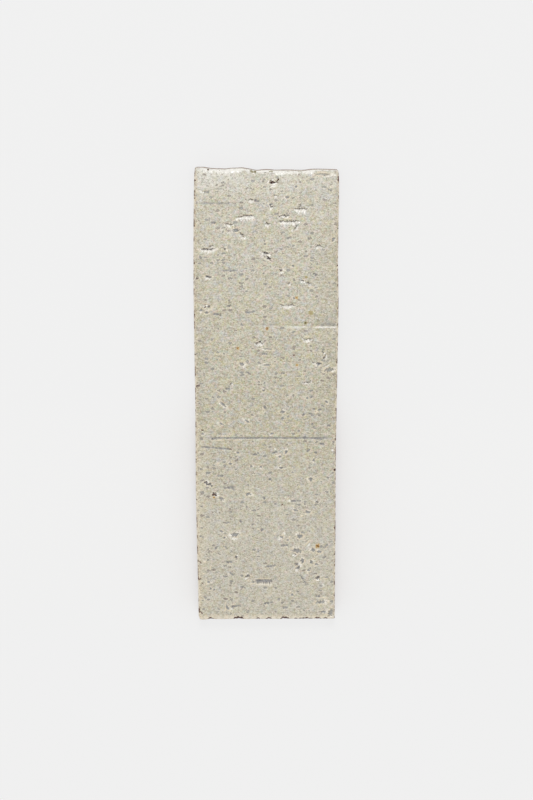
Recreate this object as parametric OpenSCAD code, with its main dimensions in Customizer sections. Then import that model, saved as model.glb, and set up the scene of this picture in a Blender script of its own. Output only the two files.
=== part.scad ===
// Thin brick tile: one extruded, wire-cut and glazed clay unit, lying on its keyed back.
// X runs across the width, Y along the extruded length, and Z out of the glazed face.
// The origin is the middle of the plane that the back's lands rest on.

/* [Tile] */
// Width between the two long sides
tile_w = 62.5; // [52:0.5:80]
// Length of the longer side, between the two wire-cut ends
tile_l = 203; // [165:1:260]
// Thickness from the back's lands to the glazed face
tile_t = 13; // [9:0.5:20]

/* [Edges] */
// Radius of the glazed edge along each long side
side_edge_r = 1.5; // [0.6:0.1:2.5]
// Radius of the glazed edge along each wire-cut end
end_edge_r = 1; // [0.5:0.1:2]
// Radius that the die leaves along the back's two long corners
back_corner_r = 1; // [0.4:0.1:1.6]
// How far the far end is cut off square, in degrees
far_end_skew = 0.75; // [0:0.05:1.5]
// How far the near end is cut off square, in degrees
near_end_skew = 0.35; // [0:0.05:1.5]

/* [Keyed back] */
// Width of a dovetail groove at its mouth
groove_mouth_w = 3.6; // [2:0.1:4.5]
// Depth of a groove
groove_depth = 1.6; // [0.6:0.1:2.5]
// How much a groove widens on each side towards its root
groove_undercut = 0.4; // [0:0.05:0.7]
// Width of the land between two grooves
land_w = 5.6; // [3:0.1:8]
// Least width of the plain land along each long side
side_land_min_w = 4; // [3:0.1:6]

/* [Wire-cut face] */
// How far a drag tear leans in under its lip, in degrees off the face's normal
tear_lean = 40; // [15:1:50]
// How steeply the floor of a drag tear rises to the face from under its lip, in degrees
tear_slope = 30; // [10:1:35]
// Depth of the line that the cutting wire leaves where it pauses
wire_line_depth = 0.25; // [0.1:0.05:0.4]
// How steeply the face comes back up beyond a place where the wire jumped, in degrees
step_slope = 7; // [4:1:15]
// Depth of the slot that the wire combed out
slot_depth = 0.5; // [0.2:0.1:1]
// Pitch of the teeth along that slot
slot_pitch = 0.9; // [0.6:0.1:1.5]

/* [Hidden] */
$fn = 48;

past = 3; // how far a cutter runs past the clay that it cuts
flat_w = tile_w - 2 * side_edge_r; // the glazed face between its rounded edges
flat_l = tile_l - 2 * end_edge_r;
groove_pitch = groove_mouth_w + land_w;
// An even number of grooves, so that a land lies on the centre line
groove_count = 2 * floor((tile_w - 2 * side_land_min_w + land_w) / groove_pitch / 2);
corner_relief = sqrt(2) - 1; // from a sharp corner to its rounding, along the diagonal, in radii

// Drag tears, each [across, along, length, opening, turn]: the middle as a share of the flat face from
// its centre, the size in millimetres and the turn in degrees.
DRAG_TEARS = [
    [0.04, 0.475, 2.6, 1.1, 0], [-0.11, 0.438, 2.4, 1.1, 0], [0.25, 0.419, 6.0, 1.3, 0],
    [-0.16, 0.403, 8.4, 1.2, 6], [-0.27, 0.387, 4.4, 0.9, -4], [0.17, 0.393, 9.0, 1.2, 1],
    [0.01, 0.388, 2.6, 1.0, 0], [-0.22, 0.373, 2.8, 0.9, 12], [-0.17, 0.361, 2.4, 0.9, -55],
    [0.20, 0.377, 2.4, 0.8, 75], [0.38, 0.339, 3.4, 0.8, -4], [-0.42, 0.333, 5.8, 1.0, 0],
    [0.00, 0.325, 3.0, 0.8, -14], [0.02, 0.311, 1.9, 0.8, -45], [0.10, 0.286, 1.7, 0.9, 0],
    [-0.42, 0.273, 3.0, 0.8, -10], [0.31, 0.260, 2.8, 0.7, -3], [0.17, 0.211, 5.4, 0.8, 2],
    [0.30, 0.137, 5.0, 0.9, -4], [-0.06, 0.128, 4.4, 1.1, 0], [0.39, 0.081, 2.8, 1.1, 22],
    [0.42, 0.098, 2.8, 0.7, 60], [0.30, 0.041, 4.0, 0.6, 10], [-0.27, 0.036, 1.7, 0.6, 60],
    [-0.32, -0.009, 2.8, 0.7, -35], [-0.14, -0.048, 2.0, 0.6, -40], [0.20, -0.228, 2.2, 0.7, 60],
    [0.12, -0.311, 2.0, 0.7, 50], [0.24, -0.381, 2.4, 0.9, 15], [-0.14, -0.403, 2.4, 0.8, 0]
];

// Round pits, each [across, along, chord, depth], in the same way.
PITS = [
    [-0.42, 0.206, 2.0, 0.5], [0.31, 0.171, 1.4, 0.4], [-0.18, 0.080, 1.8, 0.3], [0.15, -0.117, 1.8, 0.3],
    [0.33, -0.180, 1.8, 0.3], [-0.43, -0.190, 2.6, 0.6], [-0.39, -0.214, 2.6, 0.6],
    [-0.14, -0.213, 2.0, 0.3], [-0.24, -0.308, 2.8, 0.4], [0.25, -0.311, 2.2, 0.4],
    [0.23, -0.344, 2.6, 0.4], [0.35, -0.343, 1.6, 0.3], [0.40, -0.347, 1.6, 0.3],
    [0.39, -0.407, 1.8, 0.3], [0.42, -0.466, 2.6, 0.4], [-0.29, -0.477, 1.8, 0.4]
];

// The slot that the wire combed out, as [across, along, length, width], in the same way.
COMBED_SLOT = [-0.02, -0.416, 7.7, 1.3];

// Pause lines of the wire, each [along, from, to]: shares of the flat face from its centre.
WIRE_LINES = [[-0.086, -0.45, 0.50], [-0.108, -0.49, -0.26], [0.429, -0.48, -0.25]];

// Steps where the wire jumped, each [along, from, to, drop]: the far side drops more and more that way.
WIRE_STEPS = [[0.162, 0.28, 0.13, 0.15], [0.162, 0.35, 0.56, 0.4]];

// Shallow bites out of each end, each [across, chord, depth]: a share of the width, then millimetres.
FAR_BITES = [[-0.33, 14, 0.35], [-0.06, 9, 0.45], [0.13, 12, 0.4], [0.34, 8, 0.25]];
NEAR_BITES = [[-0.37, 9, 0.3], [-0.18, 8, 0.4], [0.04, 10, 0.25], [0.19, 7, 0.3], [0.37, 12, 0.25]];

// Shell-shaped chips off the glazed edges, each [along the edge, chord, depth], in the same way.
FAR_CHIPS = [[-0.41, 1.8, 0.6], [-0.10, 3.2, 0.9], [0.03, 2.4, 0.7]];
NEAR_CHIPS = [
    [-0.41, 3.6, 0.8], [-0.20, 5.2, 1.0], [-0.05, 2.4, 0.5], [0.02, 2.4, 0.6], [0.15, 5.0, 0.8],
    [0.25, 2.4, 0.5], [0.35, 4.6, 0.6], [0.44, 2.6, 0.5]
];
LEFT_CHIPS = [
    [-0.47, 3.2, 0.7], [-0.37, 1.8, 0.5], [-0.22, 1.6, 0.5], [-0.13, 1.6, 0.5], [0.03, 2.2, 0.6],
    [0.26, 2.0, 0.6], [0.38, 1.8, 0.5], [0.45, 1.8, 0.5]
];
RIGHT_CHIPS = [
    [-0.42, 3.0, 0.5], [-0.29, 3.2, 0.6], [-0.19, 3.0, 0.6], [-0.15, 2.0, 0.8], [-0.02, 2.0, 0.6],
    [0.08, 3.4, 0.6], [0.25, 3.6, 0.5], [0.37, 1.6, 0.5], [0.44, 1.6, 0.5]
];

// Radius of the arc that has this chord and this depth at its middle.
function arc_r(chord, depth) = (chord * chord / 4 + depth * depth) / (2 * depth);

// What rounding takes off a corner whose sharp point is the origin, with the clay below and to the left.
module corner_waste(r, beyond = past) {
    difference() {
        translate([-r, -r]) square(r + beyond);
        translate([-r, -r]) circle(r);
    }
}

// One groove's section, open at the back and wider at its root.
module dovetail_section() {
    mouth = groove_mouth_w / 2;
    root = mouth + groove_undercut;
    polygon([
        [-mouth, -past], [mouth, -past], [mouth, 0], [root, groove_depth], [-root, groove_depth], [-mouth, 0]
    ]);
}

// The section that the die gives the clay column: X across, Y from the back to the glazed face.
module die_section() {
    difference() {
        translate([-tile_w / 2, 0]) square([tile_w, tile_t]);
        for (side = [0, 1]) mirror([side, 0]) {
            translate([tile_w / 2, tile_t]) corner_waste(side_edge_r);
            translate([tile_w / 2, 0]) mirror([0, 1]) corner_waste(back_corner_r);
        }
        for (i = [0 : groove_count - 1])
            translate([(i - (groove_count - 1) / 2) * groove_pitch, 0]) dovetail_section();
    }
}

// The clay column as it leaves the die, a little longer than the tile.
module clay_column() {
    rotate([90, 0, 0]) linear_extrude(tile_l + past, center = true) die_section();
}

// Children sit at an end's sharp glazed edge: X along the edge, Y outwards, Z up.
module at_end(mirrored, skew) {
    mirror([0, mirrored, 0])
        translate([-tile_w / 2, tile_l / 2, tile_t])
            rotate([0, 0, -skew])
                translate([tile_w / 2, 0, 0]) children();
}

// Children sit at the sharp glazed edge of a long side: X along the edge, Y outwards, Z up.
module at_side(side) {
    translate([side * tile_w / 2, 0, tile_t]) rotate([0, 0, -90 * side]) children();
}

// The wire's cut through the column, with the rounding of the glazed edge.
module end_cut() {
    rotate([90, 0, 90]) linear_extrude(tile_w + 2 * past, center = true) {
        translate([0, -tile_t - past]) square([2 * past, tile_t + 2 * past]);
        corner_waste(end_edge_r);
    }
}

// A shallow bite out of an end, whose glazed edge is rounded like the rest.
module end_bite(across, chord, depth) {
    r = arc_r(chord, depth);
    translate([across * tile_w, r - depth, 0])
        rotate_extrude() {
            translate([0, -tile_t - past]) square([r, tile_t + 2 * past]);
            intersection() {
                translate([r, 0]) mirror([1, 0]) corner_waste(end_edge_r);
                translate([0, -past]) square([r + past, 2 * past]);
            }
        }
}

// A shell-shaped chip off a glazed edge of radius edge_r. The ball's poles lie along the edge and its
// seam points away from the clay, so that neither crosses the chip.
module edge_chip(along, chord, depth, edge_r) {
    r = arc_r(chord, depth);
    out = (r - depth - edge_r * corner_relief) / sqrt(2);
    translate([along, out, out]) rotate([135, 0, 0]) rotate([0, 90, 0]) sphere(r);
}

// Bites and chips of one end, or chips alone of one long side.
module end_wear(bites, chips) {
    for (b = bites) end_bite(b[0], b[1], b[2]);
    for (c = chips) edge_chip(c[0] * tile_w, c[1], c[2], end_edge_r);
}
module side_wear(side, chips) {
    for (c = chips) edge_chip(-side * c[0] * tile_l, c[1], c[2], side_edge_r);
}

// Outline of a tear: two arcs that meet in a point at each end.
module lens(length, opening) {
    r = arc_r(length, opening / 2);
    intersection() {
        translate([0, r - opening / 2]) circle(r);
        translate([0, opening / 2 - r]) circle(r);
    }
}

// A hollow that the wire dragged open: its lip overhangs on the far side, and its floor rises from under
// the lip to the face, which it reaches a little inside the near rim.
module drag_tear(tear) {
    reach = tear[2] + past;
    translate([tear[0] * flat_w, tear[1] * flat_l, tile_t])
        rotate([0, 0, tear[4]])
            intersection() {
                rotate([tear_lean, 0, 0])
                    linear_extrude(2 * reach, center = true) lens(tear[2], tear[3] * cos(tear_lean));
                translate([0, -tear[3] / 4, 0])
                    rotate([-tear_slope, 0, 0]) translate([-reach, -reach, 0]) cube(2 * reach);
            }
}

// A round pit in the face. The ball lies on its side, with its seam up, as for a chip.
module pit(place) {
    r = arc_r(place[2], place[3]);
    translate([place[0] * flat_w, place[1] * flat_l, tile_t + r - place[3]]) rotate([0, -90, 0]) sphere(r);
}

// A level slot whose near side is combed into teeth.
module combed_slot(slot) {
    tooth = slot_pitch / 2;
    teeth = floor(slot[2] / slot_pitch);
    translate([slot[0] * flat_w, slot[1] * flat_l, tile_t - slot_depth])
        linear_extrude(slot_depth + past) {
            translate([-slot[2] / 2, -slot[3] / 2]) square([slot[2], slot[3]]);
            for (i = [0 : teeth - 1])
                translate([(i - (teeth - 1) / 2) * slot_pitch - tooth / 2, -slot[3] / 2 - tooth])
                    square([tooth, 2 * tooth]);
        }
}

// A V-shaped line across the face.
module wire_line(line) {
    side = wire_line_depth * sqrt(2);
    length = (line[2] - line[1]) * flat_w;
    translate([(line[1] + line[2]) / 2 * flat_w, line[0] * flat_l, tile_t])
        rotate([45, 0, 0]) cube([length, side, side], center = true);
}

// A step in the face: it starts at nothing, deepens along the line, and slopes back up beyond it.
module wire_step(step) {
    run = abs(step[2] - step[1]) * flat_w;
    translate([step[1] * flat_w, step[0] * flat_l, tile_t])
        mirror([step[2] < step[1] ? 1 : 0, 0, 0])
            rotate([step_slope, asin(step[3] / run), 0]) cube([run, run, past]);
}

module thin_brick() {
    color([0.73, 0.71, 0.64]) difference() {
        clay_column();
        at_end(0, far_end_skew) { end_cut(); end_wear(FAR_BITES, FAR_CHIPS); }
        at_end(1, near_end_skew) { end_cut(); end_wear(NEAR_BITES, NEAR_CHIPS); }
        at_side(-1) side_wear(-1, LEFT_CHIPS);
        at_side(1) side_wear(1, RIGHT_CHIPS);
        for (line = WIRE_LINES) wire_line(line);
        for (step = WIRE_STEPS) wire_step(step);
        for (place = PITS) pit(place);
        for (tear = DRAG_TEARS) drag_tear(tear);
        combed_slot(COMBED_SLOT);
    }
}

thin_brick();
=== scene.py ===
import math
import random

import bpy
import numpy as np
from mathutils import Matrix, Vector, noise


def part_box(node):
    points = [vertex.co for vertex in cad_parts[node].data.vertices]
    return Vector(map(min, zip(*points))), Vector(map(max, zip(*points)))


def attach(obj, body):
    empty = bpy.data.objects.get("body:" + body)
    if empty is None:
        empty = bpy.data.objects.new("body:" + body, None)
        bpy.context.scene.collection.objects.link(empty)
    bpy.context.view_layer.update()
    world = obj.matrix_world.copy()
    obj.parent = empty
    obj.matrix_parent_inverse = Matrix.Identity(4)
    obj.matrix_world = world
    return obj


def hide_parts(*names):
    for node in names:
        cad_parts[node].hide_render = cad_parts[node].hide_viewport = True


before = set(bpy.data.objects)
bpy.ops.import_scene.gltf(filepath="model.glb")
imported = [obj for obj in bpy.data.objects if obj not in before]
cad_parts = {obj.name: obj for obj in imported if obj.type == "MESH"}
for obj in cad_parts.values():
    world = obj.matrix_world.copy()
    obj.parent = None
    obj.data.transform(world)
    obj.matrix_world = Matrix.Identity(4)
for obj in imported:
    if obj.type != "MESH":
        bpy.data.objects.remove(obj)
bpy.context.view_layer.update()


# ---- Camera ------------------------------------------------------------------------------------
# The tile lies on its keyed back. The camera looks down on the middle of the glazed face and leans
# towards the far end, which comes out at the top of the view.
MM = 0.001
tile_low, tile_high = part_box("thin_brick")
WIDTH, LENGTH, THICKNESS = tile_high - tile_low
CAMERA_DISTANCE = 631 * MM
CAMERA_LEAN = math.radians(10.9)
CAMERA_LENS = 64.2

bpy.ops.object.select_all(action="DESELECT")
bpy.ops.object.camera_add(
    location=(
        0,
        CAMERA_DISTANCE * math.sin(CAMERA_LEAN),
        THICKNESS + CAMERA_DISTANCE * math.cos(CAMERA_LEAN),
    ),
    rotation=(-CAMERA_LEAN, 0, 0),
)
camera = bpy.context.object
camera.data.lens = CAMERA_LENS
camera.data.clip_start = 10 * MM
bpy.context.scene.camera = camera
bpy.context.scene.view_settings.view_transform = "Standard"


# ---- Floor and light ---------------------------------------------------------------------------
# A plain pale sweep, lit by a pale room, a wide panel above the far end, whose sheen lies on the far
# end of the face, and a smaller lamp beyond it that picks out every slope that faces that way.
FLOOR_SIZE = 20.0
FLOOR_GAP = 0.1 * MM
FLOOR_GLOW = 0.84  # how much of its seen light the floor gives itself
GLOW_LOST = 0.38  # and how much less of it beside the near half of the tile, where the shade is soft
ROOM_LIGHT = 0.66


def from_srgb(red, green, blue):
    """The linear colour of an sRGB colour given from 0 to 255."""
    def linear(value):
        value /= 255
        return value / 12.92 if value <= 0.04045 else ((value + 0.055) / 1.055) ** 2.4
    return (linear(red), linear(green), linear(blue), 1.0)


class Signal:
    """An output socket of a node tree, or the tree alone where socket is None.

    Sums and products of signals add their Math nodes, and every other node comes from node().
    """

    def __init__(self, tree, socket=None):
        self.tree = tree
        self.socket = socket

    def node(self, kind, settings=None, sockets=None, output=0):
        """Adds a node, sets it up, gives its sockets their values or links, and returns one output."""
        node = self.tree.nodes.new(kind)
        for name, value in (settings or {}).items():
            setattr(node, name, value)
        for name, value in (sockets or {}).items():
            if isinstance(value, Signal):
                self.tree.links.new(value.socket, node.inputs[name])
            else:
                node.inputs[name].default_value = value
        return Signal(self.tree, node.outputs[output])

    def output(self, number):
        """Another output of the node that this one comes from."""
        return Signal(self.tree, self.socket.node.outputs[number])

    def math(self, operation, other):
        return self.node("ShaderNodeMath", {"operation": operation}, {0: self, 1: other})

    def __add__(self, other):
        return self.math("ADD", other)

    __radd__ = __add__

    def __sub__(self, other):
        return self.math("SUBTRACT", other)

    def __rsub__(self, other):
        return self.node("ShaderNodeMath", {"operation": "SUBTRACT"}, {0: other, 1: self})

    def __mul__(self, other):
        return self.math("MULTIPLY", other)

    __rmul__ = __mul__

    def __abs__(self):
        return self.math("ABSOLUTE", 0.0)

    def most(self, other):
        return self.math("MAXIMUM", other)

    def rise(self, start, end):
        """0 up to start, 1 from end, and a smooth rise or fall between."""
        return self.node(
            "ShaderNodeMapRange",
            {"interpolation_type": "SMOOTHSTEP"},
            {"Value": self, "From Min": start, "From Max": end},
        )

    def mix(self, low, high):
        """Colour low where this is 0 and colour high where it is 1."""
        return self.node("ShaderNodeMix", {"data_type": "RGBA"}, {0: self, 6: low, 7: high}, 2)

    def tinted(self, share, red, green, blue):
        """This colour where share is 0 and that sRGB colour where it is 1."""
        return share.mix(self, from_srgb(red, green, blue))

    def vector(self, operation, sockets):
        return self.node("ShaderNodeVectorMath", {"operation": operation}, {0: self, **sockets})

    def lifted(self, amount):
        """This colour with the same amount of light added to all of it."""
        return self.vector("ADD", {1: amount})

    def axis(self, index):
        """One of these coordinates: 0 across, 1 along and 2 up."""
        return self.node("ShaderNodeSeparateXYZ", sockets={0: self}, output=index)


def new_material(name):
    """A new material, its Principled shader and its object coordinates."""
    material = bpy.data.materials.new(name)
    material.use_nodes = True
    tree = material.node_tree
    place = Signal(tree).node("ShaderNodeTexCoord", output=3)
    return material, tree.nodes["Principled BSDF"], place


def plug(signal, node, name):
    """Links a signal to the input of that name."""
    signal.tree.links.new(signal.socket, node.inputs[name])


bpy.ops.mesh.primitive_plane_add(size=FLOOR_SIZE, location=(0, 0, -FLOOR_GAP))
floor = bpy.context.object
floor.name = "floor"
floor_material, floor_shader, floor_place = new_material("pale_floor")
floor_shader.inputs["Base Color"].default_value = from_srgb(241, 241, 241)
floor_shader.inputs["Roughness"].default_value = 0.9
floor_shader.inputs["Specular IOR Level"].default_value = 0.2
floor_tree = Signal(floor_material.node_tree)
glow = floor_tree.node("ShaderNodeEmission", sockets={"Color": from_srgb(240, 240, 240)})
beside = abs(floor_place.axis(0)).rise(0.4 * WIDTH, 0.55 * WIDTH)
beside = beside * (1 - abs(floor_place.axis(1) + 0.28 * LENGTH).rise(0.15 * LENGTH, 0.32 * LENGTH))
floor_light = floor_tree.node("ShaderNodeLightPath") * (FLOOR_GLOW - beside * GLOW_LOST)
floor_seen = floor_tree.node(
    "ShaderNodeMixShader",
    sockets={0: floor_light, 1: Signal(floor_tree.tree, floor_shader.outputs["BSDF"]), 2: glow},
)
plug(floor_seen, floor_tree.tree.nodes["Material Output"], "Surface")
floor.data.materials.append(floor_material)

world = bpy.data.worlds.new("pale_room")
world.use_nodes = True
bpy.context.scene.world = world
room = Signal(world.node_tree)
seen = room.node("ShaderNodeLightPath")
background = world.node_tree.nodes["Background"]
background.inputs["Color"].default_value = from_srgb(240, 240, 239)
plug(seen * (1 - ROOM_LIGHT) + ROOM_LIGHT, background, "Strength")


def add_panel(name, tilt, distance, size, radiance):
    """An oblong panel that faces the tile from tilt radians off the zenith, beyond the far end."""
    bpy.ops.object.light_add(
        type="AREA",
        location=(0, distance * math.sin(tilt), distance * math.cos(tilt)),
        rotation=(-tilt, 0, 0),
    )
    panel = bpy.context.object
    panel.name = name
    panel.data.shape = "RECTANGLE"
    panel.data.size, panel.data.size_y = size
    panel.data.energy = radiance * math.pi * size[0] * size[1]


add_panel("sheen_panel", tilt=math.radians(4), distance=3.0, size=(1.7, 0.8), radiance=5.4)
add_panel("slope_lamp", tilt=math.radians(34), distance=3.0, size=(0.62, 0.62), radiance=17.0)


# ---- Clay body ---------------------------------------------------------------------------------
# One length of clay column: pressed out of a die, wired off at both ends and along its face, then
# fired. The face starts as a fine grid, and the rounded edges, the sides and the back grow from it.
GRID_CELL = 0.66 * MM
SIDE_EDGE_R = 1.5 * MM
END_EDGE_R = 1.0 * MM
BACK_EDGE_R = 1.0 * MM
EDGE_STEPS = 5
CHIP_BAND = 2.0 * MM  # the top of the sides, which chips reach into
CHIP_STEPS = 4
SIDE_STEPS = 4
BACK_EDGE_STEPS = 2

flat_width = WIDTH - 2 * SIDE_EDGE_R
flat_length = LENGTH - 2 * END_EDGE_R
bpy.ops.object.select_all(action="DESELECT")
bpy.ops.mesh.primitive_grid_add(
    x_subdivisions=round(flat_width / GRID_CELL),
    y_subdivisions=round(flat_length / GRID_CELL),
    size=1,
    location=(0, 0, THICKNESS),
)
tile = bpy.context.object
tile.name = "glazed_thin_brick"
tile.data.name = "glazed_thin_brick"
tile.scale = (flat_width, flat_length, 1)
bpy.ops.object.transform_apply(location=True, rotation=False, scale=True)


def grow_ring(ring, half_width, half_length, height):
    """Extrudes the open border, ring, into a rectangle of that half size at that height."""
    bpy.ops.mesh.extrude_edges_move()
    bpy.ops.transform.resize(
        value=(half_width / ring.x, half_length / ring.y, 1), center_override=(0, 0, 0)
    )
    bpy.ops.transform.translate(value=(0, 0, height - ring.z))
    return Vector((half_width, half_length, height))


bpy.ops.object.mode_set(mode="EDIT")
bpy.ops.mesh.select_mode(type="EDGE")
bpy.ops.mesh.select_all(action="DESELECT")
bpy.ops.mesh.select_non_manifold()
ring = Vector((flat_width / 2, flat_length / 2, THICKNESS))
for step in range(1, EDGE_STEPS + 1):
    turn = math.pi / 2 * step / EDGE_STEPS
    ring = grow_ring(
        ring,
        WIDTH / 2 - SIDE_EDGE_R * (1 - math.sin(turn)),
        LENGTH / 2 - END_EDGE_R * (1 - math.sin(turn)),
        THICKNESS - SIDE_EDGE_R * (1 - math.cos(turn)),
    )
for step in range(1, CHIP_STEPS + 1):
    height = THICKNESS - SIDE_EDGE_R - CHIP_BAND * step / CHIP_STEPS
    ring = grow_ring(ring, WIDTH / 2, LENGTH / 2, height)
side_height = THICKNESS - SIDE_EDGE_R - CHIP_BAND - BACK_EDGE_R
for step in range(1, SIDE_STEPS + 1):
    height = BACK_EDGE_R + side_height * (1 - step / SIDE_STEPS)
    ring = grow_ring(ring, WIDTH / 2, LENGTH / 2, height)
for step in range(1, BACK_EDGE_STEPS + 1):
    turn = math.pi / 2 * step / BACK_EDGE_STEPS
    ring = grow_ring(
        ring,
        WIDTH / 2 - BACK_EDGE_R * (1 - math.cos(turn)),
        LENGTH / 2,
        BACK_EDGE_R * (1 - math.sin(turn)),
    )
bpy.ops.mesh.edge_face_add()
bpy.ops.mesh.select_all(action="SELECT")
bpy.ops.mesh.normals_make_consistent(inside=False)
bpy.ops.object.mode_set(mode="OBJECT")


# ---- Keyed back --------------------------------------------------------------------------------
# Six dovetail grooves run along the whole back, where the ribs of the die held the clay back, and the
# mortar grips them. One rib is shaped, repeated across the tile and cut out of it.
GROOVE_COUNT = 6
GROOVE_PITCH = 9.2 * MM
GROOVE_MOUTH = 3.6 * MM
GROOVE_UNDERCUT = 0.4 * MM
GROOVE_DEPTH = 1.6 * MM

bpy.ops.object.select_all(action="DESELECT")
bpy.ops.mesh.primitive_cube_add(size=1, location=(0, 0, 0))
rib = bpy.context.object
rib.scale = (GROOVE_MOUTH, 1.1 * LENGTH, 2 * GROOVE_DEPTH)
bpy.ops.object.transform_apply(location=True, rotation=False, scale=True)
bpy.ops.object.mode_set(mode="EDIT")
bpy.ops.mesh.select_mode(type="FACE")
bpy.ops.mesh.select_all(action="SELECT")
bpy.ops.mesh.bisect(plane_co=(0, 0, 0), plane_no=(0, 0, 1))
bpy.ops.object.mode_set(mode="OBJECT")
for vertex in rib.data.vertices:
    if vertex.co.z > GROOVE_DEPTH / 2:
        vertex.co.x += math.copysign(GROOVE_UNDERCUT, vertex.co.x)
row = rib.modifiers.new("row", "ARRAY")
row.count = GROOVE_COUNT
row.use_relative_offset = False
row.use_constant_offset = True
row.constant_offset_displace = (GROOVE_PITCH, 0, 0)
bpy.ops.object.modifier_apply(modifier="row")
for vertex in rib.data.vertices:
    vertex.co.x -= GROOVE_PITCH * (GROOVE_COUNT - 1) / 2

bpy.ops.object.select_all(action="DESELECT")
tile.select_set(True)
bpy.context.view_layer.objects.active = tile
grooves = tile.modifiers.new("grooves", "BOOLEAN")
grooves.object = rib
grooves.operation = "DIFFERENCE"
grooves.solver = "MANIFOLD"
bpy.ops.object.modifier_apply(modifier="grooves")
bpy.data.objects.remove(rib)


# ---- Torn, wire-cut face -----------------------------------------------------------------------
# The wire that sliced the face off dragged the wet clay: it tore hollows with an overhanging lip on
# the far side and a sloping floor on the near side, and left fine lines where it paused. The glaze then
# ran into every hollow, and stayed thin on every rim.
# The marks also hold painted shade in the hollows and painted highlights on the slopes.

# Places are shares of the tile's width and length from its centre, sizes millimetres, turns degrees.
# Drag tears: [across, along, length, apron below the lip, depth, turn, bare clay from 0 to 1]
DRAG_TEARS = [
    [0.038, 0.472, 2, 0.6, 0.25, 0, 1], [0.237, 0.415, 6, 1.7, 0.6, 0, 0.1],
    [-0.151, 0.399, 8.4, 1.5, 0.5, 6, 0.1], [0.114, 0.4, 5, 0.7, 0.3, 2, 0],
    [0.165, 0.389, 9, 1.25, 0.5, 1, 0.1], [0.008, 0.384, 2.6, 1.2, 0.6, 0, 0.2],
    [-0.257, 0.383, 4.4, 0.9, 0.4, -4, 0.4], [0.362, 0.336, 3.4, 0.9, 0.5, -4, 0],
    [-0.404, 0.33, 6.6, 1.2, 0.4, 0, 0], [-0.005, 0.3215, 3.8, 0.7, 0.5, -8, 0.3],
    [-0.402, 0.27, 3, 0.9, 0.5, -10, 0], [0.292, 0.257, 2.8, 0.6, 0.4, -3, 0],
    [0.112, 0.209, 2.2, 0.5, 0.4, -6, 0.1], [0.165, 0.209, 5.2, 0.8, 0.5, 2, 0.1],
    [0.285, 0.136, 5, 1, 0.5, -4, 0.1], [-0.054, 0.127, 4.4, 1.1, 0.7, 0, 0.1],
    [0.366, 0.083, 1.7, 0.9, 0.6, 12, 0], [0.336, 0.084, 1.2, 0.5, 0.4, -30, 0],
    [0.287, 0.041, 4, 0.5, 0.3, 10, 0], [-0.107, 0.434, 2.4, 1.5, 0.7, 0, 0.5],
    [0.062, 0.444, 1.6, 0.9, 0.4, 5, 0.2], [0.038, 0.421, 1.8, 1.4, 0.5, -20, 0],
    [0.1, 0.388, 1.8, 0.8, 0.4, -10, 0.1],
]
# Side tears, which run up the face instead of across it, in the same order
SIDE_TEARS = [
    [0.07, 0.475, 2.6, 0.8, 0.8, 65, 0.9], [0.226, 0.42, 2, 0.5, 0.6, 80, 0.3],
    [-0.163, 0.359, 2.8, 1.4, 0.7, -50, 0.1], [-0.054, 0.128, 1.4, 0.5, 0.6, 75, 0],
    [0.194, 0.374, 2.6, 0.9, 0.5, 75, 0.2], [-0.39, 0.335, 2, 0.8, 0.5, 45, 0.1],
    [0.02, 0.311, 2.1, 1.1, 0.5, -48, 0.3], [0.258, 0.262, 1.7, 0.9, 0.4, -30, 0],
    [0.15, 0.256, 1.7, 0.5, 0.3, 45, 0], [0.402, 0.096, 2.8, 0.9, 0.5, 60, 0],
    [0.392, 0.103, 1.4, 0.7, 0.3, 70, 0], [-0.259, 0.036, 1.7, 0.7, 0.4, 60, 0],
    [0.208, -0.349, 1.6, 0.7, 0.3, -40, 0],
]
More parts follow.
